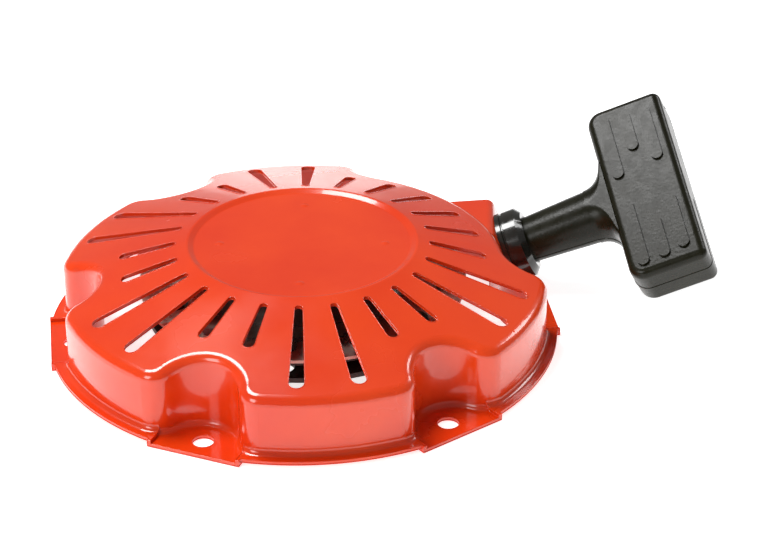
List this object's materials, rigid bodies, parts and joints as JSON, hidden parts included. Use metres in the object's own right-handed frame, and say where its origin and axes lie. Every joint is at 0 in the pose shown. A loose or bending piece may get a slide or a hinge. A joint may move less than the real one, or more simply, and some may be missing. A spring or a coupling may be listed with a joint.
{
  "type": "recoil starter",
  "caption": "Pull-start unit for a small engine: slotted pressed-steel cover with bolt ears, rope reel with return spring and pawls, rope guide and T-handle.",
  "frame": {"origin": "centre of the bolt circle on the mounting face, under the bolt ears", "axes": "+Z along the crank axis away from the engine; +X through the bolt pocket beside the rope guide; the rope leaves 23 degrees above the mounting plane, turned 9 degrees from +X towards -Y"},
  "size_m": [0.2551, 0.194, 0.0711],
  "materials": {
    "enamel": "gloss red-orange baked enamel on pressed steel",
    "zinc_plate": "bright zinc plating with a faint yellow cast",
    "turned_steel": "turned and lightly oiled",
    "spring_steel": "blued spring strip and wire, oiled",
    "pawl_steel": "sintered, matt, polished at the tip",
    "guide_plastic": "moulded, gloss black",
    "reel_plastic": "moulded nylon, satin black",
    "bush_plastic": "acetal, natural white",
    "handle_rubber": "moulded rubber, satin black with an olive cast",
    "rope": "braided nylon starter rope, dark"
  },
  "bodies": {
    "cover": {"cover": "enamel", "anchor_plate": "zinc_plate", "centre_post": "turned_steel", "screw_sleeve": "turned_steel", "plate_washer": "zinc_plate", "friction_spring": "spring_steel", "centre_screw": "zinc_plate", "rope_guide": "guide_plastic", "guide_clip": "guide_plastic"},
    "reel": {"reel": "reel_plastic", "reel_bush": "bush_plastic", "reel_plate": "zinc_plate", "reel_rivets": "turned_steel", "wound_rope": "rope", "reel_knot": "rope", "recoil_spring": "spring_steel", "pawl_pins": "turned_steel", "pawl_springs": "spring_steel"},
    "guide_plate": {"guide_plate": "zinc_plate"},
    "pawl_a": {"pawl_a": "pawl_steel"},
    "pawl_b": {"pawl_b": "pawl_steel"},
    "rope_end": {"handle_knot": "rope", "rope_lead": "rope"},
    "handle": {"handle_grip": "handle_rubber", "handle_insert": "zinc_plate", "handle_cap": "handle_rubber"}
  },
  "joints": [
    {"name": "handle_pull", "type": "slide", "parent": "cover", "child": "rope_end", "axis": [0.9092, -0.144, 0.3907], "range_m": [0, 1], "stiffness_N_per_m": 12, "springref_m": -0.8, "deforming": ["rope_lead"]},
    {"name": "handle_twist", "type": "hinge", "parent": "rope_end", "child": "handle", "pos_m": [0.0834, 0.0253, 0.0157], "axis": [0.9092, -0.144, 0.3907], "range_deg": [-90, 90]},
    {"name": "reel_spin", "type": "hinge", "parent": "cover", "child": "reel", "pos_m": [0, 0, 0], "axis": [0, 0, 1], "range_deg": [-1550, 1], "deforming": ["recoil_spring"]},
    {"name": "plate_lag", "type": "hinge", "parent": "reel", "child": "guide_plate", "pos_m": [0, 0, 0], "axis": [0, 0, 1], "range_deg": [0, 20]},
    {"name": "pawl_a_swing", "type": "hinge", "parent": "reel", "child": "pawl_a", "pos_m": [0, 0.02, 0], "axis": [0, 0, 1], "range_deg": [0, 35]},
    {"name": "pawl_b_swing", "type": "hinge", "parent": "reel", "child": "pawl_b", "pos_m": [0, -0.02, 0], "axis": [0, 0, 1], "range_deg": [0, 35]}
  ],
  "couplings": [
    {"joint": "reel_spin", "follows": "handle_pull", "rad_per_m": -27},
    {"joint": "pawl_a_swing", "follows": "plate_lag", "ratio": 1.75},
    {"joint": "pawl_b_swing", "follows": "plate_lag", "ratio": 1.75}
  ]
}
